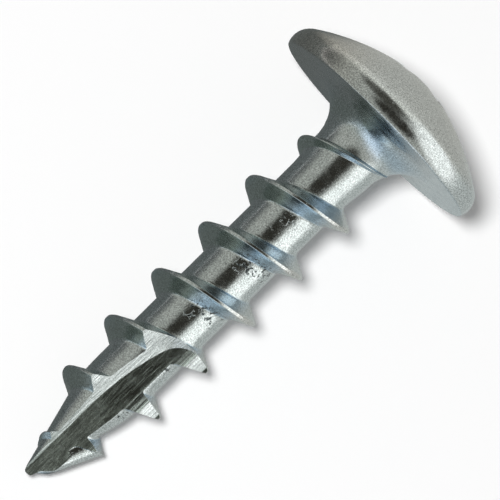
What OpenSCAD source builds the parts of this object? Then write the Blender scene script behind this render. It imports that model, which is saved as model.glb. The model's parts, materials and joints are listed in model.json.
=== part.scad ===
// Truss head screw with a coarse thread and a milled cutting point, lying on its side

/* [Head] */
// Diameter of the head
head_d = 9.5; // [9:0.1:10.2]
// Height of the head above its flat underside
head_h = 2.6; // [2.4:0.05:2.9]
// Radius of the middle of the dome
crown_r = 5.4; // [5:0.1:6.4]
// Radius of the flank of the dome
flank_r = 10; // [9:0.5:16]
// Radius of the rounded rim
rim_r = 0.8; // [0.6:0.05:0.9]
// Height of the centre of the rim's rounding above the underside
rim_rise = 0.36; // [0.2:0.02:0.5]

/* [Drive recess] */
// Distance across two wings of the cross recess at the top of the dome
recess_span = 4.3; // [3.8:0.1:4.6]
// Depth of the recess below the top of the dome
recess_depth = 2; // [1.7:0.1:2.2]
// Width of a wing at the top of the dome
wing_top_w = 1.15; // [1:0.05:1.3]
// Width of a wing at its foot
wing_foot_w = 0.7; // [0.6:0.05:0.85]
// Diameter where the flanks of the wings meet the end cone
recess_foot_d = 2.3; // [2:0.1:2.5]
// Height of the end cone
end_cone_h = 0.42; // [0.3:0.02:0.6]
// Diameter of the round core between the wings at the top
core_top_d = 2.1; // [1.9:0.1:2.4]
// Diameter of the round core at its foot
core_foot_d = 1.15; // [1:0.05:1.4]

/* [Shank] */
// Length from the underside of the head to the tip
length = 18.75; // [16:0.05:26]
// Diameter at the root of the thread
root_d = 2.56; // [2.4:0.02:2.7]
// Diameter of the plain neck under the head
neck_d = 2.82; // [2.76:0.02:3.1]
// Radius of the flare from the neck into the underside
neck_flare = 1.7; // [1.2:0.1:1.75]
// Length of the cone between the threaded core and the neck
neck_taper = 1.5; // [0.8:0.1:1.6]

/* [Thread] */
// Outer diameter of the thread
thread_d = 4.22; // [4:0.02:4.4]
// Distance from one crest to the next
pitch = 2.54; // [2.3:0.02:2.8]
// Width of the flat on the crest
crest_w = 0.12; // [0.08:0.02:0.2]
// Angle of each flank of the thread from a plane across the screw
flank_a = 27; // [22:1:30]
// Height of the fillet at the foot of the thread
root_fillet = 0.16; // [0.1:0.02:0.22]
// Distance from the head at which the thread is at its full height
thread_full = 3.3; // [3.1:0.05:4]
// Distance from the head at which the thread has run out
thread_gone = 0.7; // [0.6:0.05:1.4]
// Distance from the head to the first crest on the low side of the lying screw
first_crest = 2.85; // [2.6:0.05:3.2]

/* [Point] */
// Length of the pointed end
point_len = 4.2; // [3.8:0.1:4.8]
// Diameter of the blunt tip
tip_d = 0.34; // [0.26:0.02:0.5]
// Length of the end over which the thread grows to its full height
point_thread_len = 5.75; // [5:0.05:6]
// Radius of the curve along which the crest grows
point_curve_r = 7.5; // [7.2:0.1:9]
// Distance of the thread's first face from the tip
thread_start = 0.75; // [0.6:0.05:1]
// Height of the thread above the core at its first face
thread_start_h = 0.14; // [0.1:0.02:0.2]

/* [Cutting flute] */
// Height of the flat floor of the flute above the screw's axis
flute_floor = 0.93; // [0.87:0.02:1.1]
// Height of the floor above the axis at the tip
flute_tip = 0; // [0:0.02:0.1]
// Distance of the flute's inner corner from the screw's axis
flute_side = 0.15; // [0.05:0.05:0.3]
// Angle of the flute's wall from a line square to its floor
flute_lean = 45; // [35:1:50]
// Distance from the tip along which the flute runs straight
flute_straight = 4.6; // [4.4:0.1:5.4]
// Radius of the milling cutter that leaves the curved end
cutter_r = 5.5; // [4.5:0.1:6.5]

/* [Hidden] */

$fn = 96;
steps_per_turn = 48;
step_a = 360 / steps_per_turn;
eps = 0.01;
finish = "#a9b2ba";

head_r = head_d / 2;
root_r = root_d / 2;
neck_r = neck_d / 2;
thread_r = thread_d / 2;
tip_r = tip_d / 2;

// Centres of the three arcs of the head, as distance from the axis and height above the underside
rim_c = [head_r - rim_r, rim_rise];
crown_c = [0, head_h - crown_r];
flank_c = tangent_centre(crown_c, flank_r - crown_r, rim_c, flank_r - rim_r);

// Direction of the dome's flank where it meets the crown and the rim, from the axis
crown_a = atan2(crown_c[0] - flank_c[0], crown_c[1] - flank_c[1]);
rim_a = atan2(rim_c[0] - flank_c[0], rim_c[1] - flank_c[1]);

// The meeting point, on the low side, of a circle round a and a circle round b
function tangent_centre(a, ra, b, rb) =
    let (
        d = norm(b - a),
        u = (b - a) / d,
        along = (ra * ra - rb * rb + d * d) / (2 * d),
        off = sqrt(ra * ra - along * along)
    )
    a + along * u + off * [u[1], -u[0]];

// The core of the point: its radius at height z on the screw's axis, which is 0 at the underside
point_z = point_len - length;
point_slope = (root_r - tip_r) / point_len;
function core_r(z) = z > point_z ? root_r : tip_r + point_slope * (z + length);

// The crest grows along an arc from the tip and sinks into the neck under the head
function crest_grow(t) =
    t > point_thread_len ? thread_r
        : thread_r - point_curve_r + sqrt(pow(point_curve_r, 2) - pow(point_thread_len - t, 2));
function crest_fade(z) =
    -z > thread_full ? 0
        : (thread_r - neck_r + sink) * (thread_full + z) / (thread_full - thread_gone);
function crest_r(z) =
    max(crest_grow(z + length), core_r(z) + thread_start_h) - crest_fade(z);

// The foot of the thread lies this far inside the core
sink = 0.12;

// Half of the thread's width at the top of its fillet and at its foot
function thread_half(z) =
    let (
        h = crest_r(z) - core_r(z),
        f = min(root_fillet, h / 2),
        top = crest_w / 2 + (h - f) * tan(flank_a)
    )
    [top, top + f * tan(flank_a) + f, f];

// The thread's section, as points [distance from the axis, height on the axis]
function thread_section(z) =
    let (
        w = thread_half(z),
        c = crest_r(z),
        low = core_r(z - w[1]),
        high = core_r(z + w[1])
    )
    [
        [max(low - sink, eps), z - w[1]],
        [core_r(z - w[0]) + w[2], z - w[0]],
        [c, z - crest_w / 2],
        [c, z + crest_w / 2],
        [core_r(z + w[0]) + w[2], z + w[0]],
        [max(high - sink, eps), z + w[1]]
    ];

// Angle 0 is the low side of the lying screw
function crest_z(a) = pitch * a / 360 - first_crest;

// Angles of the first and last sections, in whole steps
first_step = ceil((thread_start - length + first_crest) / pitch * steps_per_turn);
last_step = floor((first_crest - thread_gone) / pitch * steps_per_turn);

// The screw lies on its rim and on one crest: the flattest line that clears every low crest
function lean_over(z) =
    let (
        d = rim_c - [crest_r(z), z - crest_w / 2],
        far = norm(d)
    )
    atan2(d[0], d[1]) + asin(rim_r / far);
low_turns = [ceil(first_step / steps_per_turn) : floor(last_step / steps_per_turn)];
lying_a = min([for (k = low_turns) lean_over(crest_z(360 * k))]);

// Height of the underside's middle above the ground, and how far the lying screw reaches each way from it
lying_h = rim_r + rim_c[0] * cos(lying_a) - rim_c[1] * sin(lying_a);
head_reach = crown_r + crown_c[1] * cos(lying_a);
tip_reach = length * cos(lying_a);

// The half section of the head: three arcs that meet smoothly over a flat underside
module head_section() {
    reach = 3 * head_d;
    intersection() {
        square([head_r, head_h]);
        union() {
            intersection() {
                translate(crown_c) circle(crown_r);
                translate(crown_c) polygon([[0, 0], [0, reach], reach * [sin(crown_a), cos(crown_a)]]);
            }
            intersection() {
                translate(flank_c) circle(flank_r);
                translate(flank_c) polygon([
                    [0, 0],
                    reach * [sin(crown_a), cos(crown_a)],
                    reach * [sin(rim_a), cos(rim_a)]
                ]);
            }
            translate(rim_c) circle(rim_r);
            polygon([[0, 0], [rim_c[0], 0], rim_c, flank_c, crown_c]);
        }
    }
}

// The flare from the neck into the underside, with its top inside the head
module flare_section() {
    difference() {
        translate([0, -neck_flare]) square([neck_r + neck_flare, neck_flare + rim_rise]);
        translate([neck_r + neck_flare, -neck_flare]) circle(neck_flare);
    }
}

// The cross recess: two tapered bars and a round core, inside a cone with a blunt end
module recess() {
    foot_z = head_h - recess_depth;
    over = head_h + 1;
    grow = (wing_top_w - wing_foot_w) / recess_depth;
    top_w = wing_foot_w + grow * (over - foot_z);
    span_grow = (recess_span - recess_foot_d) / (recess_depth - end_cone_h);
    top_span = recess_foot_d + span_grow * (over - foot_z - end_cone_h);
    core_grow = (core_top_d - core_foot_d) / recess_depth;
    top_core_d = core_foot_d + core_grow * (over - foot_z);
    intersection() {
        rotate_extrude() polygon([
            [0, foot_z],
            [recess_foot_d / 2, foot_z + end_cone_h],
            [top_span / 2, over],
            [0, over]
        ]);
        union() {
            for (a = [45, 135])
                rotate([90, 0, a])
                    translate([0, 0, -recess_span])
                        linear_extrude(2 * recess_span) polygon([
                            [-wing_foot_w / 2, foot_z - eps],
                            [wing_foot_w / 2, foot_z - eps],
                            [top_w / 2, over],
                            [-top_w / 2, over]
                        ]);
            translate([0, 0, foot_z - eps])
                cylinder(h = over - foot_z + eps, d1 = core_foot_d, d2 = top_core_d);
        }
    }
}

// The neck, the threaded core and the blunt point
module core_section() {
    polygon([
        [0, rim_rise],
        [neck_r, rim_rise],
        [neck_r, -neck_flare],
        [root_r, -neck_flare - neck_taper],
        [root_r, point_z],
        [tip_r, -length + tip_r / 2],
        [tip_r / 2, -length],
        [0, -length]
    ]);
}

// The thread: one section carried round the axis, a little higher with each step
module thread() {
    rings = [
        for (i = [first_step : last_step])
            let (a = i * step_a)
            [for (p = thread_section(crest_z(a))) [p[0] * cos(a), p[0] * sin(a), p[1]]]
    ];
    n = len(rings[0]);
    last = (len(rings) - 1) * n;
    points = [for (ring = rings) each ring];
    sides = [
        for (i = [0 : len(rings) - 2], k = [0 : n - 1])
            let (
                a = i * n + k,
                b = i * n + (k + 1) % n
            )
            each [[a, b + n, a + n], [a, b, b + n]]
    ];
    ends = [
        for (k = [1 : n - 2])
            each [[0, k + 1, k], [last, last + k, last + k + 1]]
    ];
    polyhedron(points, concat(sides, ends));
}

// The space that the milling cutter sweeps: a flat floor with one leaning wall
module flute() {
    deep = thread_r + 1;
    reach = head_d;
    lean = tan(flute_lean);
    dip_a = atan2(flute_floor - flute_tip, point_len);
    translate([-flute_floor, 0, -length]) rotate([90, 0, -90]) {
        translate([cutter_r - flute_side, flute_straight, 0])
            cylinder(h = deep, r1 = cutter_r, r2 = cutter_r + deep * lean);
        translate([0, point_len, 0]) flute_bar(flute_straight - point_len, deep, reach, lean);
        translate([0, point_len, 0])
            rotate([dip_a, 0, 0])
                translate([0, -reach, 0]) flute_bar(reach + 1, deep, reach, lean);
    }
}

// A straight stretch of the flute
module flute_bar(run, deep, reach, lean) {
    rotate([-90, 0, 0])
        linear_extrude(run) polygon([
            [-flute_side, 0],
            [reach, 0],
            [reach, -deep],
            [-flute_side - deep * lean, -deep]
        ]);
}

// Turns the upright screw onto its side, at rest on the ground
module lay_down() {
    translate([(tip_reach - head_reach) / 2, 0, lying_h]) rotate([0, 90 - lying_a, 0]) children();
}

module screw() {
    color(finish) lay_down() difference() {
        union() {
            rotate_extrude() head_section();
            rotate_extrude() {
                flare_section();
                core_section();
            }
            thread();
        }
        recess();
        flute();
    }
}

screw();
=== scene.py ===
import json
import math

import bpy
from mathutils import Matrix, Vector

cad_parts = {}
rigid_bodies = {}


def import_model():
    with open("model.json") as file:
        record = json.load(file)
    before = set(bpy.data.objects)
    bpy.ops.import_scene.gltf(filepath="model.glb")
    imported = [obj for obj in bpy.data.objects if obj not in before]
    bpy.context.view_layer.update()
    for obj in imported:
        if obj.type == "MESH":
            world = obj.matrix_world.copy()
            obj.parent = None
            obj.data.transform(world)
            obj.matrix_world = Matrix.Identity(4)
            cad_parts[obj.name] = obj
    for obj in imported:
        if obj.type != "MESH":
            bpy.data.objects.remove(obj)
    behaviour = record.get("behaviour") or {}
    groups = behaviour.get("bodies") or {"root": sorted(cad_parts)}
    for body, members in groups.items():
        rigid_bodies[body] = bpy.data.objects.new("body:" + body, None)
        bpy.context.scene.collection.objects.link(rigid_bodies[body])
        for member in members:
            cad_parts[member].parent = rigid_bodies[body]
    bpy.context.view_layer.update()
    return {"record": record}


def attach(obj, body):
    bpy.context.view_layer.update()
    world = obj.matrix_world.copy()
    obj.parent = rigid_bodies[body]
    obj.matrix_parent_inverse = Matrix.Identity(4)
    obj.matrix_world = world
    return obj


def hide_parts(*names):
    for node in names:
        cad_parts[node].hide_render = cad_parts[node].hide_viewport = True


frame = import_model()
print("frame loaded")

# The screw is modelled upright in millimetres: z along its axis, 0 at the flat underside, head up.
# Minus x is the side that faces up once it lies down, and minus y its right side from the tip.
screwSizes = {
    "headDiameter": 9.494,
    "headHeight": 2.598,
    "crownRadius": 5.4,
    "flankRadius": 10.0,
    "rimRadius": 0.8,
    "rimRise": 0.36,
    "seatEdgeRound": 0.09,  # where the rim turns into the flat underside
    "length": 18.747,
    "rootDiameter": 2.56,
    "neckDiameter": 2.82,
    "neckFlare": 1.7,
    "neckTaper": 1.5,
    "pointLength": 4.2,
    "tipDiameter": 0.34,
    "columns": 160,  # faces round the screw
}

threadSizes = {
    "diameter": 4.216,
    "pitch": 2.54,
    "crestWidth": 0.12,
    "crestRound": 0.04,
    "flankAngle": 27.0,  # from a plane across the screw
    "rootRound": 0.22,
    "firstCrest": 2.85,  # from the head, on the low side
    "fullDepthAt": 3.3,  # from the head
    "goneAt": 0.7,
    "growLength": 5.75,  # from the tip
    "growCurve": 7.5,
    "startAt": 0.75,
    "startHeight": 0.1,
}

webSizes = {
    "angle": 290.0,  # round the screw, from the low side
    "lean": 19.7,  # of its own axis from the screw's
    "noseRadius": 0.48,
    "noseAt": 0.82,  # middle of the nose, from the tip
    "coneAngle": 6.6,
    "end": 2.7,  # of the web at that angle, on the first crest
}


def makeActive(piece):
    for other in bpy.context.view_layer.objects:
        other.select_set(False)
    piece.select_set(True)
    bpy.context.view_layer.objects.active = piece


def enterEdit(piece, kind="VERT"):
    makeActive(piece)
    bpy.ops.object.mode_set(mode="EDIT")
    bpy.ops.mesh.select_mode(type=kind)
    bpy.ops.mesh.select_all(action="SELECT")


def leaveEdit():
    bpy.ops.object.mode_set(mode="OBJECT")


def applyAll(piece):
    makeActive(piece)
    for modifier in list(piece.modifiers):
        bpy.ops.object.modifier_apply(modifier=modifier.name)


# Draws a line of points one by one, as extruded vertices
def drawLine(name, points):
    bpy.ops.object.select_all(action="DESELECT")
    bpy.ops.mesh.primitive_plane_add(size=1)
    line = bpy.context.active_object
    line.name = name
    enterEdit(line)
    bpy.ops.mesh.merge(type="CENTER")
    bpy.ops.transform.translate(value=points[0])
    for here, there in zip(points, points[1:]):
        step = [b - a for a, b in zip(here, there)]
        bpy.ops.mesh.extrude_vertices_move(TRANSFORM_OT_translate={"value": step})
    leaveEdit()
    return line


def arcPoints(centre, radius, startAngle, endAngle, count):
    turns = [math.radians(startAngle + (endAngle - startAngle) * i / count) for i in range(count + 1)]
    return [(centre[0] + radius * math.cos(a), centre[1] + radius * math.sin(a)) for a in turns]


# One pitch of the shank's outline, as (height on the axis, radius), crest in the middle
def ridgeOutline():
    t = threadSizes
    flank = math.radians(t["flankAngle"])
    root = screwSizes["rootDiameter"] / 2
    crest = t["diameter"] / 2
    reach = t["crestWidth"] / 2 * math.cos(flank) + crest * math.sin(flank)
    topCentre = crest - t["crestRound"]
    topSide = (reach - t["crestRound"] - topCentre * math.sin(flank)) / math.cos(flank)
    footCentre = root + t["rootRound"]
    footSide = (reach + t["rootRound"] - footCentre * math.sin(flank)) / math.cos(flank)
    top = arcPoints((topSide, topCentre), t["crestRound"], 90, t["flankAngle"], 3)
    foot = arcPoints((footSide, footCentre), -t["rootRound"], t["flankAngle"], 90, 6)
    (a, b), (c, d) = top[-1], foot[0]
    flankPoints = [(a + (c - a) * i / 4, b + (d - b) * i / 4) for i in range(1, 4)]
    half = t["pitch"] / 2
    rootPoints = [(footSide + (half - footSide) * i / 3, root) for i in range(1, 4)]
    side = top + flankPoints + foot + rootPoints
    return [(-z, r) for z, r in reversed(side)] + [(0, crest)] + side, footSide


def blend(low, high, value):
    x = min(1.0, max(0.0, (value - low) / (high - low)))
    return x * x * (3 - 2 * x)


# Radius of the screw without its thread
def coreRadius(z):
    s = screwSizes
    root, neck, tip = s["rootDiameter"] / 2, s["neckDiameter"] / 2, s["tipDiameter"] / 2
    fromTip = z + s["length"]
    cone = tip + (root - tip) * fromTip / s["pointLength"]
    soft = 0.06
    gap = (root - cone) / soft
    core = root - soft * math.log1p(math.exp(gap)) if gap < 30 else cone
    taper = blend(-s["neckFlare"] - s["neckTaper"], -s["neckFlare"], z)
    core += (neck - root) * taper
    rise = min(1.0, max(0.0, (z + s["neckFlare"]) / s["neckFlare"]))
    return core + s["neckFlare"] * (1 - math.sqrt(1 - rise * rise))


# Height of the thread above the core, for a crest at z
def ridgeHeight(z):
    s, t = screwSizes, threadSizes
    crest = t["diameter"] / 2
    fromTip = z + s["length"]
    if fromTip < t["startAt"]:
        return 0.0
    grown = crest
    if fromTip < t["growLength"]:
        grown = crest - t["growCurve"] + math.sqrt(t["growCurve"] ** 2 - (t["growLength"] - fromTip) ** 2)
    grown = max(grown, coreRadius(z) + t["startHeight"])
    left = min(1.0, max(0.0, (-z - t["goneAt"]) / (t["fullDepthAt"] - t["goneAt"])))
    flare = coreRadius(z) - coreRadius(min(z, -s["neckFlare"]))
    return left * (grown - coreRadius(z) + flare)


# The web of metal that the rolling leaves between the tip and the first full turn
def webRadius(angle, z):
    w = webSizes
    fromTip = z + screwSizes["length"]
    away = (math.degrees(angle) - w["angle"] + 180) % 360 - 180
    if not 0 < fromTip < w["end"] + threadSizes["pitch"] * away / 360:
        return 0.0
    cone, nose = math.radians(w["coneAngle"]), w["noseRadius"]
    touch = w["noseAt"] - nose * math.sin(cone)
    if fromTip > touch:
        radius = nose * math.cos(cone) + (fromTip - touch) * math.tan(cone)
    else:
        radius = math.sqrt(max(0.0, nose ** 2 - (w["noseAt"] - fromTip) ** 2))
    side = fromTip * math.tan(math.radians(w["lean"]))
    inside = radius ** 2 - (side * math.sin(math.radians(away))) ** 2
    return side * math.cos(math.radians(away)) + math.sqrt(inside) if inside > 0 else 0.0


# The shank: one pitch of outline is screwed along the axis, then drawn in at both ends
def makeShank():
    s, t = screwSizes, threadSizes
    outline, footSide = ridgeOutline()
    turnsBelow = math.ceil((s["length"] - t["firstCrest"]) / t["pitch"])
    lowest = -t["firstCrest"] - turnsBelow * t["pitch"]
    shank = drawLine("screwBody", [(r, 0, lowest + z) for z, r in outline])
    modifier = shank.modifiers.new("thread", "SCREW")
    modifier.axis = "Z"
    modifier.angle = math.tau
    modifier.screw_offset = t["pitch"]
    modifier.steps = s["columns"]
    modifier.render_steps = s["columns"]
    modifier.iterations = turnsBelow + 2
    applyAll(shank)
    enterEdit(shank)
    bpy.ops.mesh.remove_doubles(threshold=0.001)
    bpy.ops.mesh.normals_make_consistent(inside=False)
    leaveEdit()

    root = s["rootDiameter"] / 2
    fullHeight = t["diameter"] / 2 - root
    half = t["pitch"] / 2
    for point in shank.data.vertices:
        x, y, z = point.co
        angle = math.atan2(y, x)
        crest = t["pitch"] * angle / math.tau - t["firstCrest"]
        crest += t["pitch"] * round((z - crest) / t["pitch"])
        share = ridgeHeight(crest) / fullHeight
        width = max(share, 0.1)
        foot = footSide * width
        away = z - crest
        if abs(away) <= footSide:
            away *= width
        else:
            stretch = (half - foot) / (half - footSide)
            away = math.copysign(foot + (abs(away) - footSide) * stretch, away)
        height = crest + away
        radius = coreRadius(height) + (math.hypot(x, y) - root) * share
        radius = max(radius, webRadius(angle, height))
        point.co = (radius * math.cos(angle), radius * math.sin(angle), height)
    return shank


def ringPoints(piece, height):
    return [v for v in piece.data.vertices if abs(v.co.z - height) < 1e-4]


# Cuts the shank square and closes it with rings, each pulled out of the one before
def trim(piece, height, clearUpper):
    enterEdit(piece)
    bpy.ops.mesh.bisect(
        plane_co=(0, 0, height), plane_no=(0, 0, 1), clear_outer=clearUpper, clear_inner=not clearUpper
    )
    leaveEdit()


def pullRings(piece, start, rings):
    enterEdit(piece)
    bpy.ops.mesh.select_all(action="DESELECT")
    leaveEdit()
    for point in ringPoints(piece, start[1]):
        point.select = True
        around = math.hypot(point.co.x, point.co.y)
        point.co.x *= start[0] / around
        point.co.y *= start[0] / around
    bpy.ops.object.mode_set(mode="EDIT")
    bpy.ops.mesh.select_mode(type="VERT")
    radius, height = start
    for nextRadius, nextHeight in rings:
        bpy.ops.mesh.extrude_region_move(
            TRANSFORM_OT_translate={"value": (0, 0, nextHeight - height)}
        )
        if nextRadius > 0:
            scale = nextRadius / radius
            bpy.ops.transform.resize(value=(scale, scale, 1), center_override=(0, 0, nextHeight))
            radius = nextRadius
        else:
            bpy.ops.mesh.merge(type="CENTER")
        height = nextHeight
    leaveEdit()


# The meeting point of two circles, on the side of the axis
def arcCentre(a, radiusA, b, radiusB):
    across = Vector(b) - Vector(a)
    far = across.length
    unit = across / far
    along = (radiusA ** 2 - radiusB ** 2 + far ** 2) / (2 * far)
    off = math.sqrt(radiusA ** 2 - along ** 2)
    return Vector(a) + along * unit + off * Vector((unit.y, -unit.x))


def headOutline(fromHeight):
    s = screwSizes
    flare, neck = s["neckFlare"], s["neckDiameter"] / 2
    rimCentre = Vector((s["headDiameter"] / 2 - s["rimRadius"], s["rimRise"]))
    crownCentre = Vector((0, s["headHeight"] - s["crownRadius"]))
    flankCentre = arcCentre(
        crownCentre, s["flankRadius"] - s["crownRadius"], rimCentre, s["flankRadius"] - s["rimRadius"]
    )
    crownTurn = math.degrees(math.atan2(*reversed(crownCentre - flankCentre)))
    rimTurn = math.degrees(math.atan2(*reversed(rimCentre - flankCentre)))
    begin = math.degrees(math.acos((fromHeight + flare) / flare))
    flarePoints = arcPoints((neck + flare, -flare), flare, 180 - (90 - begin), 90, 20)

    # The seat's edge: a small arc that touches the flat underside and the rim's own arc
    edge = s["seatEdgeRound"]
    rimReach = math.sqrt((s["rimRadius"] - edge) ** 2 - (s["rimRise"] - edge) ** 2)
    edgeCentre = (rimCentre.x + rimReach, edge)
    edgeTurn = math.degrees(math.atan2(edge - s["rimRise"], rimReach))
    seat = [(neck + flare + (edgeCentre[0] - neck - flare) * i / 6, 0) for i in range(1, 7)]
    edgePoints = arcPoints(edgeCentre, edge, -90, edgeTurn, 6)[1:]
    rimPoints = arcPoints(rimCentre, s["rimRadius"], edgeTurn, rimTurn, 16)[1:]
    flankPoints = arcPoints(flankCentre, s["flankRadius"], rimTurn, crownTurn, 12)[1:]
    crownPoints = arcPoints(crownCentre, s["crownRadius"], crownTurn, 90, 16)[1:-1]
    return flarePoints[1:] + seat + edgePoints + rimPoints + flankPoints + crownPoints + [(0, s["headHeight"])]


fluteSizes = {
    "floorHeight": 0.93,  # above the axis
    "tipHeight": 0.0,
    "sideOffset": 0.15,  # of the inner corner from the axis
    "wallLean": 45.0,
    "straightLength": 3.43,  # from the tip
    "longRadius": 12.2,  # of the corner's slow curve
    "longTurn": 16.5,
    "endRadius": 1.2,
    "flatWidth": 0.75,  # from the axis, past which the floor falls away
    "fallRadius": 1.5,
    "depth": 3.0,  # of the cutter, past the thread
    "reach": 6.0,
}


# The space that the milling cutter sweeps: an outline on the flute's floor, pulled up and outwards
def makeFluteCutter():
    f, s = fluteSizes, screwSizes
    side, reach, depth = f["sideOffset"], f["reach"], f["depth"]
    turn = math.radians(f["longTurn"])
    longCentre = Vector((f["longRadius"] - side, f["straightLength"]))
    endCentre = longCentre + (f["endRadius"] - f["longRadius"]) * Vector((math.cos(turn), -math.sin(turn)))
    longArc = arcPoints(longCentre, f["longRadius"], 180, 180 - f["longTurn"], 24)
    endArc = arcPoints(endCentre, f["endRadius"], 180 - f["longTurn"], 90, 12)
    wall = [(-side, -1), (-side, f["straightLength"] / 2)] + longArc + endArc[1:]
    wallTurns = [180, 180] + [180 - f["longTurn"] * i / 24 for i in range(25)]
    wallTurns += [180 - f["longTurn"] - (90 - f["longTurn"]) * i / 12 for i in range(1, 13)]
    outline = wall + [(reach, wall[-1][1]), (reach, -1)]
    cutter = drawLine("fluteCutter", [(x, y, 0) for x, y in outline])
    enterEdit(cutter)
    bpy.ops.mesh.edge_face_add()
    bpy.ops.mesh.extrude_region_move(TRANSFORM_OT_translate={"value": (0, 0, depth)})
    leaveEdit()

    # The wall leans outwards, square to its own line
    spread = depth * math.tan(math.radians(f["wallLean"]))
    for (x, y), turned in zip(wall, wallTurns):
        outwards = Vector((math.cos(math.radians(turned)), math.sin(math.radians(turned)), 0))
        for point in cutter.data.vertices:
            if point.co.z > depth / 2 and math.hypot(point.co.x - x, point.co.y - y) < 1e-4:
                point.co += outwards * spread
                break

    # The floor falls away past its flat stretch, and dips along the point
    enterEdit(cutter)
    for i in range(7):
        bpy.ops.mesh.select_all(action="SELECT")
        bpy.ops.mesh.bisect(plane_co=(f["flatWidth"] + 0.2 * i, 0, 0), plane_no=(1, 0, 0))
    bpy.ops.mesh.select_all(action="SELECT")
    bpy.ops.mesh.bisect(plane_co=(0, s["pointLength"], 0), plane_no=(0, 1, 0))
    bpy.ops.mesh.select_all(action="SELECT")
    bpy.ops.mesh.normals_make_consistent(inside=False)
    leaveEdit()
    dip = (f["floorHeight"] - f["tipHeight"]) / s["pointLength"]
    for point in cutter.data.vertices:
        if point.co.z < 0.001:
            over = min(1.2, max(0.0, point.co.x - f["flatWidth"]))
            point.co.z -= f["fallRadius"] - math.sqrt(f["fallRadius"] ** 2 - over ** 2)
            point.co.z -= max(0.0, s["pointLength"] - point.co.y) * dip

    # From the cutter's own frame to the screw's
    place = Matrix(((0, 0, -1, -f["floorHeight"]), (-1, 0, 0, 0), (0, 1, 0, -s["length"]), (0, 0, 0, 1)))
    cutter.data.transform(place)
    return cutter


recessSizes = {
    "span": 3.4,  # across two wings at the top of the dome
    "depth": 2.0,
    "topWidth": 1.0,  # of a wing
    "footWidth": 0.7,
    "footDiameter": 2.2,
    "endCone": 0.42,
    "coreTop": 2.0,
    "coreFoot": 1.15,
    "turn": 45.0,
    "over": 1.0,  # how far the cutter stands over the dome
}


def cut(piece, cutter, operation="DIFFERENCE"):
    modifier = piece.modifiers.new("cut", "BOOLEAN")
    modifier.operation = operation
    modifier.solver = "EXACT"
    modifier.material_mode = "TRANSFER"
    modifier.object = cutter
    applyAll(piece)
    bpy.data.objects.remove(cutter)


def makeCone(low, lowRadius, high, highRadius):
    bpy.ops.object.select_all(action="DESELECT")
    bpy.ops.mesh.primitive_cone_add(
        vertices=64, radius1=lowRadius, radius2=highRadius, depth=high - low, location=(0, 0, (low + high) / 2)
    )
    bpy.ops.object.transform_apply()
    return bpy.context.active_object


# One tapered bar of the cross recess, through the screw's axis
def makeWing(turn, foot, top):
    r = recessSizes
    bpy.ops.object.select_all(action="DESELECT")
    bpy.ops.mesh.primitive_cube_add(size=1, location=(0, 0, (foot + top) / 2), rotation=(0, 0, math.radians(turn)))
    wing = bpy.context.active_object
    wing.scale = (r["span"] * 1.5, 1, top - foot)
    grow = (r["topWidth"] - r["footWidth"]) / r["depth"]
    for point in wing.data.vertices:
        width = r["footWidth"] + (grow * (top - foot) if point.co.z > 0 else 0)
        point.co.y *= width
    bpy.ops.object.transform_apply()
    return wing


def makeRecessCutter():
    r, s = recessSizes, screwSizes
    foot = s["headHeight"] - r["depth"]
    top = s["headHeight"] + r["over"]
    run = r["depth"] + r["over"]
    coreOver = r["coreFoot"] + (r["coreTop"] - r["coreFoot"]) * run / r["depth"]
    spanOver = r["footDiameter"] + (r["span"] - r["footDiameter"]) * (run - r["endCone"]) / (r["depth"] - r["endCone"])
    cutter = makeWing(r["turn"], foot, top)
    cutter.name = "recessCutter"
    cut(cutter, makeWing(r["turn"] + 90, foot, top), "UNION")
    cut(cutter, makeCone(foot, r["coreFoot"] / 2, top, coreOver / 2), "UNION")
    envelope = makeCone(foot + r["endCone"], r["footDiameter"] / 2, top + 0.1, spanOver / 2)
    lowEnd = makeCone(foot - 0.01, 0.05, foot + r["endCone"] + 0.001, r["footDiameter"] / 2)
    cut(envelope, lowEnd, "UNION")
    cut(cutter, envelope, "INTERSECT")
    return cutter


def makeScrew():
    s = screwSizes
    screw = makeShank()
    headFrom, tipFrom = -0.8, -s["length"] + 0.25
    trim(screw, headFrom, True)
    trim(screw, tipFrom, False)
    pullRings(screw, (coreRadius(headFrom), headFrom), headOutline(headFrom))
    tip = s["tipDiameter"] / 2
    end = -s["length"]
    pullRings(
        screw,
        (coreRadius(tipFrom), tipFrom),
        [(tip * 1.1, end + 0.11), (tip * 0.95, end + 0.05), (tip * 0.6, end + 0.01), (tip * 0.3, end), (0, end)],
    )
    enterEdit(screw)
    bpy.ops.mesh.remove_doubles(threshold=0.0005)
    bpy.ops.mesh.normals_make_consistent(inside=False)
    leaveEdit()
    return screw


platingSizes = {
    "colour": (0.72, 0.74, 0.735, 1),
    "paintedShadeLeft": (0.64, 0.70, 0.65, 1),  # painted shade on the flanks of the thread and under the head, towards the left; the next one towards the right
    "paintedShadeRight": (0.44, 0.57, 0.69, 1),
    "paintedLightEdge": (0.72, 0.70, 0.64, 1),  # painted light on the flanks at the right outline
    "paintedLightUnderHead": (0.74, 0.90, 0.98, 1),  # painted bluish reflection under the left side of the head
    "roughness": 0.17,
    "grain": 17.0,  # cells of the fine grain in a millimetre
    "grainDepth": 0.0000026,
    "waves": 2.2,  # slow waves that the rolling dies leave, in a millimetre
    "waveDepth": 0.000005,
    "pits": 3.4,
    "pitDepth": 0.000012,
    "crestHighlightFrom": 1.9,  # radius past which the crests get a painted warm highlight
    "crestHighlightTo": 2.1,
    "marks": 5.5,  # tears that the dies leave on the tip side of each turn
    "markDepth": 0.000022,
}

flutingSizes = {
    "lines": (4.0, 11.0, 0.3),  # of the cutter's marks, across and along the flute, in a millimetre
    "lineDepth": 0.00003,
    "roughness": 0.22,
    # Painted shade on the flute's floor
    "floorShade": (0.62, 0.66, 0.62, 1),
}


def addNode(tree, kind, **settings):
    node = tree.nodes.new(kind)
    for name, value in settings.items():
        setattr(node, name, value)
    return node


def link(tree, source, target):
    tree.links.new(source, target)


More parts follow.
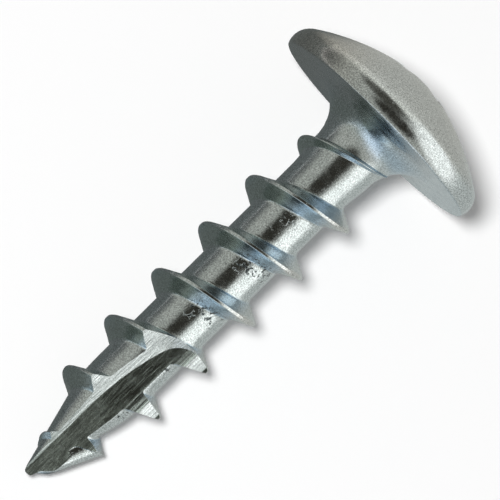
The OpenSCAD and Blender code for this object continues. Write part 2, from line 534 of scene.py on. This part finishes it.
# A value between low and high, spread over the range given
def addRange(tree, value, fromLow, fromHigh, low=0.0, high=1.0, smooth=True):
    node = addNode(tree, "ShaderNodeMapRange", interpolation_type="SMOOTHSTEP" if smooth else "LINEAR")
    for name, number in (("From Min", fromLow), ("From Max", fromHigh), ("To Min", low), ("To Max", high)):
        node.inputs[name].default_value = number
    link(tree, value, node.inputs["Value"])
    return node.outputs["Result"]


def addMix(tree, factor, first, second, blendType="MIX"):
    node = addNode(tree, "ShaderNodeMix", data_type="RGBA", blend_type=blendType)
    for value, socket in ((factor, node.inputs[0]), (first, node.inputs[6]), (second, node.inputs[7])):
        if isinstance(value, bpy.types.NodeSocket):
            link(tree, value, socket)
        else:
            socket.default_value = value
    return node.outputs[2]


def addNoise(tree, vector, scale, detail=2.0, roughness=0.5):
    node = addNode(tree, "ShaderNodeTexNoise")
    node.inputs["Scale"].default_value = scale
    node.inputs["Detail"].default_value = detail
    node.inputs["Roughness"].default_value = roughness
    link(tree, vector, node.inputs["Vector"])
    return node


def addBump(tree, height, distance, under=None, strength=1.0):
    node = addNode(tree, "ShaderNodeBump")
    node.inputs["Strength"].default_value = strength
    node.inputs["Distance"].default_value = distance
    link(tree, height, node.inputs["Height"])
    if under is not None:
        link(tree, under, node.inputs["Normal"])
    return node.outputs["Normal"]


# Fine grain of the plating, shared by all of its materials
def makeGrainGroup():
    g = platingSizes
    tree = bpy.data.node_groups.new("platingGrain", "ShaderNodeTree")
    tree.interface.new_socket("Place", in_out="INPUT", socket_type="NodeSocketVector")
    tree.interface.new_socket("Colour", in_out="OUTPUT", socket_type="NodeSocketColor")
    tree.interface.new_socket("Height", in_out="OUTPUT", socket_type="NodeSocketFloat")
    tree.interface.new_socket("Spread", in_out="OUTPUT", socket_type="NodeSocketFloat")
    start, end = addNode(tree, "NodeGroupInput"), addNode(tree, "NodeGroupOutput")
    fine = addNoise(tree, start.outputs["Place"], g["grain"], 2.0, 0.65)
    coarse = addNoise(tree, start.outputs["Place"], g["grain"] / 7, 3.0)
    shade = addRange(tree, fine.outputs["Fac"], 0.3, 0.7, 0.7, 1.24, smooth=False)
    hue = addMix(tree, 0.25, (1, 1, 1, 1), fine.outputs["Color"], "OVERLAY")
    link(tree, addMix(tree, 1.0, hue, shade, "MULTIPLY"), end.inputs["Colour"])
    link(tree, fine.outputs["Fac"], end.inputs["Height"])
    link(tree, addRange(tree, coarse.outputs["Fac"], 0.3, 0.7, -0.05, 0.09), end.inputs["Spread"])
    return tree


def startMaterial(name, grainGroup):
    material = bpy.data.materials.new(name)
    material.use_nodes = True
    tree = material.node_tree
    shader = tree.nodes["Principled BSDF"]
    shader.inputs["Metallic"].default_value = 1
    place = addNode(tree, "ShaderNodeAttribute", attribute_name="screwPlace").outputs["Vector"]
    grain = addNode(tree, "ShaderNodeGroup", node_tree=grainGroup)
    link(tree, place, grain.inputs["Place"])
    return material, tree, shader, place, grain


def addRoughness(tree, grain, shader, base):
    node = addNode(tree, "ShaderNodeMath", operation="ADD")
    node.inputs[1].default_value = base
    link(tree, grain.outputs["Spread"], node.inputs[0])
    link(tree, node.outputs[0], shader.inputs["Roughness"])


def addMath(tree, operation, first, second=None):
    node = addNode(tree, "ShaderNodeMath", operation=operation)
    for i, value in enumerate((first, second)):
        if isinstance(value, bpy.types.NodeSocket):
            link(tree, value, node.inputs[i])
        elif value is not None:
            node.inputs[i].default_value = value
    return node.outputs[0]


# Tears that the rolling dies leave: they come back with each turn, on its tip side
def addDieMarks(tree, place, split):
    g, t = platingSizes, threadSizes
    turned = addMath(tree, "ARCTAN2", split.outputs["Y"], split.outputs["X"])
    share = addMath(tree, "DIVIDE", turned, math.tau)
    climbed = addMath(tree, "DIVIDE", addMath(tree, "ADD", split.outputs["Z"], t["firstCrest"]), t["pitch"])
    phase = addMath(tree, "FRACT", addMath(tree, "SUBTRACT", climbed, share))
    nearTurn = addMath(
        tree, "MULTIPLY", addRange(tree, phase, 0.52, 0.62), addRange(tree, phase, 0.93, 0.84)
    )
    side = addMath(
        tree,
        "MULTIPLY",
        addRange(tree, split.outputs["Y"], 0.3, 0.0),
        addRange(tree, split.outputs["Y"], -1.25, -1.0),
    )
    upper = addRange(tree, split.outputs["X"], -0.3, -0.6)
    low = addRange(tree, split.outputs["Z"], -3.8, -6.5)
    noise = addNoise(tree, place, g["marks"], 3.0, 0.6)
    torn = addRange(tree, noise.outputs["Fac"], 0.55, 0.62)
    for mask in (nearTurn, side, upper, low):
        torn = addMath(tree, "MULTIPLY", torn, mask)
    return torn


# Zinc plating on the rolled and forged faces: slow waves, pits, die marks, painted shade on the flanks, and a painted
# warm highlight on the crests at the right
def makePlating(grainGroup):
    g = platingSizes
    material, tree, shader, place, grain = startMaterial("zincPlating", grainGroup)
    waves = addNoise(tree, place, g["waves"], 3.0)
    pitNoise = addNoise(tree, place, g["pits"], 4.0, 0.7)
    pits = addRange(tree, pitNoise.outputs["Fac"], 0.66, 0.74)
    split = addNode(tree, "ShaderNodeSeparateXYZ")
    link(tree, place, split.inputs[0])
    flat = addNode(tree, "ShaderNodeCombineXYZ")
    link(tree, split.outputs["X"], flat.inputs["X"])
    link(tree, split.outputs["Y"], flat.inputs["Y"])
    radius = addNode(tree, "ShaderNodeVectorMath", operation="LENGTH")
    link(tree, flat.outputs[0], radius.inputs[0])
    # Painted warm highlight along the crests, on the right side and away from the head
    crestHighlight = addRange(tree, radius.outputs["Value"], g["crestHighlightFrom"], g["crestHighlightTo"], 0.0, 0.45)
    crestHighlight = addMath(tree, "MULTIPLY", crestHighlight, addRange(tree, split.outputs["Z"], -1.4, -2.2))
    crestHighlight = addMath(tree, "MULTIPLY", crestHighlight, addRange(tree, split.outputs["Y"], -0.6, -1.7))
    # Painted shade on faces that lean along the axis: the thread's flanks and the head's underside
    slope = addNode(tree, "ShaderNodeAttribute", attribute_name="flankSlope").outputs["Fac"]
    flank = addRange(tree, addMath(tree, "ABSOLUTE", slope), 0.35, 0.8, 0.0, 0.9)
    flank = addMath(tree, "MULTIPLY", flank, addRange(tree, split.outputs["Z"], 0.3, 0.1))
    stain = addRange(tree, waves.outputs["Fac"], 0.35, 0.65, 0.0, 0.35)
    marks = addDieMarks(tree, place, split)
    colour = addMix(tree, stain, g["colour"], (0.60, 0.64, 0.63, 1))
    # The painted shade gets darker and bluer towards the right
    shaded = addMix(
        tree, addRange(tree, split.outputs["Y"], 1.2, -0.4), g["paintedShadeLeft"], g["paintedShadeRight"]
    )
    # Painted light on the flanks at the right outline, away from the head
    edge = addRange(tree, split.outputs["Y"], -0.8, -1.7, 0.0, 0.8)
    edge = addMath(tree, "MULTIPLY", edge, addRange(tree, split.outputs["Z"], -1.2, -2.2))
    shaded = addMix(tree, edge, shaded, g["paintedLightEdge"])
    # Painted bluish reflection on the head's underside at its left
    shaded = addMix(tree, addRange(tree, split.outputs["Y"], 1.6, 2.8), shaded, g["paintedLightUnderHead"])
    colour = addMix(tree, flank, colour, shaded)
    onHead = addRange(tree, split.outputs["Z"], -0.8, 0.2, 0.0, 0.75)
    colour = addMix(tree, onHead, colour, (0.64, 0.655, 0.65, 1))
    # Warmer towards the head's left side
    warmSide = addMath(tree, "MULTIPLY", onHead, addRange(tree, split.outputs["Y"], 0.8, 4.4))
    colour = addMix(tree, warmSide, colour, (0.66, 0.60, 0.53, 1))
    colour = addMix(tree, crestHighlight, colour, (0.80, 0.72, 0.66, 1))
    colour = addMix(tree, pits, colour, (0.14, 0.13, 0.11, 1))
    colour = addMix(tree, marks, colour, (0.10, 0.11, 0.11, 1))
    colour = addMix(tree, 1.0, colour, grain.outputs["Colour"], "MULTIPLY")
    twice = addRange(tree, split.outputs["Z"], -0.8, 0.2, 0.35, 0.85)
    colour = addMix(tree, twice, colour, grain.outputs["Colour"], "MULTIPLY")
    link(tree, colour, shader.inputs["Base Color"])
    addRoughness(tree, grain, shader, g["roughness"])
    normal = addBump(tree, waves.outputs["Fac"], g["waveDepth"])
    normal = addBump(tree, addMath(tree, "MULTIPLY", pits, -1.0), g["pitDepth"], normal)
    normal = addBump(tree, addMath(tree, "MULTIPLY", marks, -1.0), g["markDepth"], normal)
    normal = addBump(tree, grain.outputs["Height"], g["grainDepth"], normal)
    link(tree, normal, shader.inputs["Normal"])
    return material


# The milled flute: long marks of the cutter under the plating, and painted shade on its floor
def makeFluting(grainGroup):
    f = flutingSizes
    material, tree, shader, place, grain = startMaterial("zincFluting", grainGroup)
    stretch = addNode(tree, "ShaderNodeVectorMath", operation="MULTIPLY")
    stretch.inputs[1].default_value = f["lines"]
    link(tree, place, stretch.inputs[0])
    lines = addNoise(tree, stretch.outputs[0], 1.0, 3.0, 0.6)
    shade = addRange(tree, lines.outputs["Fac"], 0.35, 0.65, 0.72, 1.2, smooth=False)
    colour = addMix(tree, 1.0, platingSizes["colour"], shade, "MULTIPLY")
    # Painted shade on the faces of the flute's floor, which face up
    floor = addNode(tree, "ShaderNodeAttribute", attribute_name="fluteFloor").outputs["Fac"]
    shaded = addMix(tree, 1.0, colour, f["floorShade"], "MULTIPLY")
    colour = addMix(tree, floor, colour, shaded)
    colour = addMix(tree, 1.0, colour, grain.outputs["Colour"], "MULTIPLY")
    link(tree, colour, shader.inputs["Base Color"])
    addRoughness(tree, grain, shader, f["roughness"])
    normal = addBump(tree, lines.outputs["Fac"], f["lineDepth"])
    normal = addBump(tree, grain.outputs["Height"], platingSizes["grainDepth"], normal)
    link(tree, normal, shader.inputs["Normal"])
    return material


# The punched recess: duller, with the punch's marks down its walls
def makePunched(grainGroup):
    material, tree, shader, place, grain = startMaterial("zincPunched", grainGroup)
    stretch = addNode(tree, "ShaderNodeVectorMath", operation="MULTIPLY")
    stretch.inputs[1].default_value = (9.0, 9.0, 0.6)
    link(tree, place, stretch.inputs[0])
    marks = addNoise(tree, stretch.outputs[0], 1.0, 2.0)
    colour = addMix(tree, 1.0, (0.56, 0.58, 0.59, 1), grain.outputs["Colour"], "MULTIPLY")
    link(tree, colour, shader.inputs["Base Color"])
    addRoughness(tree, grain, shader, 0.34)
    link(tree, addBump(tree, marks.outputs["Fac"], 0.000004), shader.inputs["Normal"])
    return material


grainGroup = makeGrainGroup()
screw = makeScrew()
screw.data.materials.append(makePlating(grainGroup))
print("screw turned:", len(screw.data.polygons), "faces")
fluteCutter = makeFluteCutter()
fluteCutter.data.materials.append(makeFluting(grainGroup))
cut(screw, fluteCutter)
print("flute milled:", len(screw.data.polygons), "faces")
recessCutter = makeRecessCutter()
recessCutter.data.materials.append(makePunched(grainGroup))
cut(screw, recessCutter)
print("recess punched:", len(screw.data.polygons), "faces")
makeActive(screw)
bpy.ops.object.shade_smooth_by_angle(angle=math.radians(32))

# Each point's place in the upright screw, in millimetres, and how far it faces along the axis
places = screw.data.attributes.new("screwPlace", "FLOAT_VECTOR", "POINT")
for point in screw.data.vertices:
    places.data[point.index].vector = point.co
slopes = screw.data.attributes.new("flankSlope", "FLOAT", "POINT")
for point in screw.data.vertices:
    slopes.data[point.index].value = point.normal.z
# Faces of the flute's floor, which get painted shade
floors = screw.data.attributes.new("fluteFloor", "FLOAT", "FACE")
for face in screw.data.polygons:
    floors.data[face.index].value = float(face.normal.x < -0.9)

# Lays the upright screw down where the placed part lies, in metres
mounts = {m["name"]: m for m in frame["record"]["mounts"]}
axis = Vector(mounts["drive_recess"]["axis"])
metres = 0.001
seatMiddle = Vector(mounts["drive_recess"]["pos_m"]) - axis * screwSizes["headHeight"] * metres
lieDown = Matrix((
    (axis.z, 0, axis.x, seatMiddle.x),
    (0, 1, 0, seatMiddle.y),
    (-axis.x, 0, axis.z, seatMiddle.z),
    (0, 0, 0, 1),
)) @ Matrix.Diagonal((metres, metres, metres, 1))
screw.data.transform(lieDown)
screw.data.update()
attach(screw, "root")
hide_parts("screw")
print("screw laid down")

# The camera looks down on the lying screw, a little towards its tip, with the axis on the picture's diagonal
cameraSizes = {
    "tilt": 17.0,  # from straight down, towards the tip
    "roll": 44.7,  # of the screw's axis from the picture's level
    "lookAt": (0.00098, 0.000071, 0.00455),
    "frameWidth": 0.01905,
    "lens": 800.0,
}


def makeCamera():
    c = cameraSizes
    data = bpy.data.cameras.new("camera")
    data.lens = c["lens"]
    camera = bpy.data.objects.new("camera", data)
    bpy.context.scene.collection.objects.link(camera)
    tilt, roll = math.radians(c["tilt"]), math.radians(c["roll"])
    back = Vector((-math.sin(tilt), 0, math.cos(tilt)))
    along = Vector((math.cos(tilt), 0, math.sin(tilt)))
    side = Vector((0, 1, 0))
    right = along * math.cos(roll) - side * math.sin(roll)
    upwards = along * math.sin(roll) + side * math.cos(roll)
    turn = Matrix((right, upwards, back)).transposed().to_4x4()
    distance = c["frameWidth"] * c["lens"] / data.sensor_width
    camera.matrix_world = Matrix.Translation(Vector(c["lookAt"]) + back * distance) @ turn
    data.clip_start, data.clip_end = distance * 0.01, distance * 10
    bpy.context.scene.camera = camera
    return camera


camera = makeCamera()

cameraBack = camera.matrix_world.to_3x3() @ Vector((0, 0, 1))

# White floor: pale paint, lifted a little for the rays that show the background
floorSizes = {"width": 4.0, "paint": 0.85, "lift": 0.1}


def makeFloor():
    f = floorSizes
    bpy.ops.object.select_all(action="DESELECT")
    bpy.ops.mesh.primitive_plane_add(size=f["width"])
    floor = bpy.context.active_object
    floor.name = "floor"
    material = bpy.data.materials.new("floorPaint")
    material.use_nodes = True
    tree = material.node_tree
    shader = tree.nodes["Principled BSDF"]
    shader.inputs["Base Color"].default_value = (f["paint"], f["paint"], f["paint"], 1)
    shader.inputs["Roughness"].default_value = 1
    shader.inputs["Specular IOR Level"].default_value = 0
    shader.inputs["Emission Color"].default_value = (1, 1, 1, 1)
    path = addNode(tree, "ShaderNodeLightPath")
    seen = path.outputs["Is Camera Ray"]
    for other in ("Is Glossy Ray", "Is Transmission Ray"):
        either = addNode(tree, "ShaderNodeMath", operation="MAXIMUM")
        link(tree, seen, either.inputs[0])
        link(tree, path.outputs[other], either.inputs[1])
        seen = either.outputs[0]
    lift = addNode(tree, "ShaderNodeMath", operation="MULTIPLY")
    lift.inputs[1].default_value = f["lift"]
    link(tree, seen, lift.inputs[0])
    link(tree, lift.outputs[0], shader.inputs["Emission Strength"])
    floor.data.materials.append(material)
    return floor


# A grey disc on the floor that only the metal shows, with a tone for each side of the screw and a painted shadow under
# it
discSizes = {
    "middle": (0.0, -0.0005, 0.0001),
    "reach": 0.15,
    "halfLength": 0.0095,  # of the stretch under the screw, where only left and right count
    # painted shadow of the screw on the disc, near its middle
    "under": (0.26, 0.27, 0.26, 1),
    "right": (0.49, 0.53, 0.52, 1),
    "left": (0.12, 0.135, 0.135, 1),
    "head": (0.48, 0.49, 0.46, 1),
    "tip": (0.42, 0.48, 0.52, 1),
    "farGain": 1.5,  # how much lighter it is near the horizon
}


def makeDisc():
    d = discSizes
    bpy.ops.object.select_all(action="DESELECT")
    bpy.ops.mesh.primitive_circle_add(vertices=96, radius=d["reach"], fill_type="NGON", location=d["middle"])
    disc = bpy.context.active_object
    disc.name = "greyDisc"
    material = bpy.data.materials.new("discTones")
    material.use_nodes = True
    tree = material.node_tree
    shader = tree.nodes["Principled BSDF"]
    shader.inputs["Base Color"].default_value = (0, 0, 0, 1)
    shader.inputs["Specular IOR Level"].default_value = 0
    point = addNode(tree, "ShaderNodeSeparateXYZ")
    link(tree, addNode(tree, "ShaderNodeTexCoord").outputs["Object"], point.inputs[0])
    along = addMath(tree, "MINIMUM", point.outputs["X"], d["halfLength"])
    along = addMath(tree, "MAXIMUM", along, -d["halfLength"])
    beyond = addNode(tree, "ShaderNodeCombineXYZ")
    link(tree, addMath(tree, "SUBTRACT", point.outputs["X"], along), beyond.inputs["X"])
    link(tree, point.outputs["Y"], beyond.inputs["Y"])
    place = beyond.outputs[0]
    direction = addNode(tree, "ShaderNodeVectorMath", operation="NORMALIZE")
    link(tree, place, direction.inputs[0])
    distance = addNode(tree, "ShaderNodeVectorMath", operation="LENGTH")
    link(tree, place, distance.inputs[0])
    split = addNode(tree, "ShaderNodeSeparateXYZ")
    link(tree, direction.outputs[0], split.inputs[0])
    tone = addMix(tree, addRange(tree, split.outputs["Y"], -0.05, 0.5), d["right"], d["left"])
    tone = addMix(tree, addRange(tree, split.outputs["X"], 0.35, 0.9), tone, d["head"])
    tone = addMix(tree, addRange(tree, split.outputs["X"], -0.5, -0.95), tone, d["tip"])
    # Painted shadow of the screw on the disc, near its middle
    tone = addMix(tree, addRange(tree, distance.outputs["Value"], 0.0004, 0.0025), d["under"], tone)
    link(tree, tone, shader.inputs["Emission Color"])
    gain = addRange(tree, distance.outputs["Value"], 0.006, 0.06, 1.0, d["farGain"])
    link(tree, gain, shader.inputs["Emission Strength"])
    disc.data.materials.append(material)
    disc.visible_camera = False
    disc.visible_diffuse = False
    disc.visible_transmission = False
    disc.visible_shadow = False


# The studio that the metal shows: soft lobes, as (angle from the camera, angle round it from the
# right of the lying screw towards its head, inner and outer reach in degrees, tone)
studioLobes = (
    (108, 180, 12, 52, (0.11, 0.12, 0.12, 1)),
    (104, 92, 20, 48, (0.76, 0.78, 0.73, 1)),
    (86, -70, 18, 48, (0.96, 1.05, 1.12, 1)),
    (90, 24, 36, 61, (1.25, 1.31, 1.29, 1)),
    (50, 106, 14, 32, (0.07, 0.07, 0.06, 1)),
    (8, 40, 19, 34, (0.035, 0.034, 0.028, 1)),
)
studioTones = {"base": (0.41, 0.43, 0.40, 1), "background": (0.92, 0.92, 0.92, 1), "fill": 0.2}


def makeWorld():
    world = bpy.data.worlds.new("studio")
    bpy.context.scene.world = world
    world.use_nodes = True
    tree = world.node_tree
    place = addNode(tree, "ShaderNodeTexCoord").outputs["Generated"]
    axisUp = axis - cameraBack * axis.dot(cameraBack)
    axisUp.normalize()
    right = axisUp.cross(cameraBack)
    tone = studioTones["base"]
    for away, turn, inner, outer, lobeTone in studioLobes:
        away, turn = math.radians(away), math.radians(turn)
        towards = cameraBack * math.cos(away)
        towards += (right * math.cos(turn) + axisUp * math.sin(turn)) * math.sin(away)
        dot = addNode(tree, "ShaderNodeVectorMath", operation="DOT_PRODUCT")
        dot.inputs[1].default_value = towards
        link(tree, place, dot.inputs[0])
        reach = addRange(tree, dot.outputs["Value"], math.cos(math.radians(outer)), math.cos(math.radians(inner)))
        tone = addMix(tree, reach, tone, lobeTone)
    path = addNode(tree, "ShaderNodeLightPath")
    fill = studioTones["fill"]
    other = addMix(tree, path.outputs["Is Camera Ray"], (fill, fill, fill, 1), studioTones["background"])
    tone = addMix(tree, path.outputs["Is Glossy Ray"], other, tone)
    link(tree, tone, tree.nodes["Background"].inputs["Color"])


# The key lamp stands by the camera, a little to the screw's left, and throws the short shadow
keySizes = {"offAxis": 7.0, "distance": 0.4, "size": 0.07, "power": 1.41}


def makeKey():
    k = keySizes
    off = math.radians(k["offAxis"])
    towards = cameraBack * math.cos(off) + Vector((0, 1, 0)) * math.sin(off)
    data = bpy.data.lights.new("key", "AREA")
    data.shape = "DISK"
    data.size = k["size"]
    data.energy = k["power"]
    key = bpy.data.objects.new("key", data)
    bpy.context.scene.collection.objects.link(key)
    key.location = towards * k["distance"]
    key.rotation_euler = towards.to_track_quat("Z", "Y").to_euler()
    key.visible_glossy = False
    key.visible_camera = False
    return key


makeFloor()
makeDisc()
makeWorld()
makeKey()
print("studio lit")

bpy.context.scene.view_settings.view_transform = "Standard"
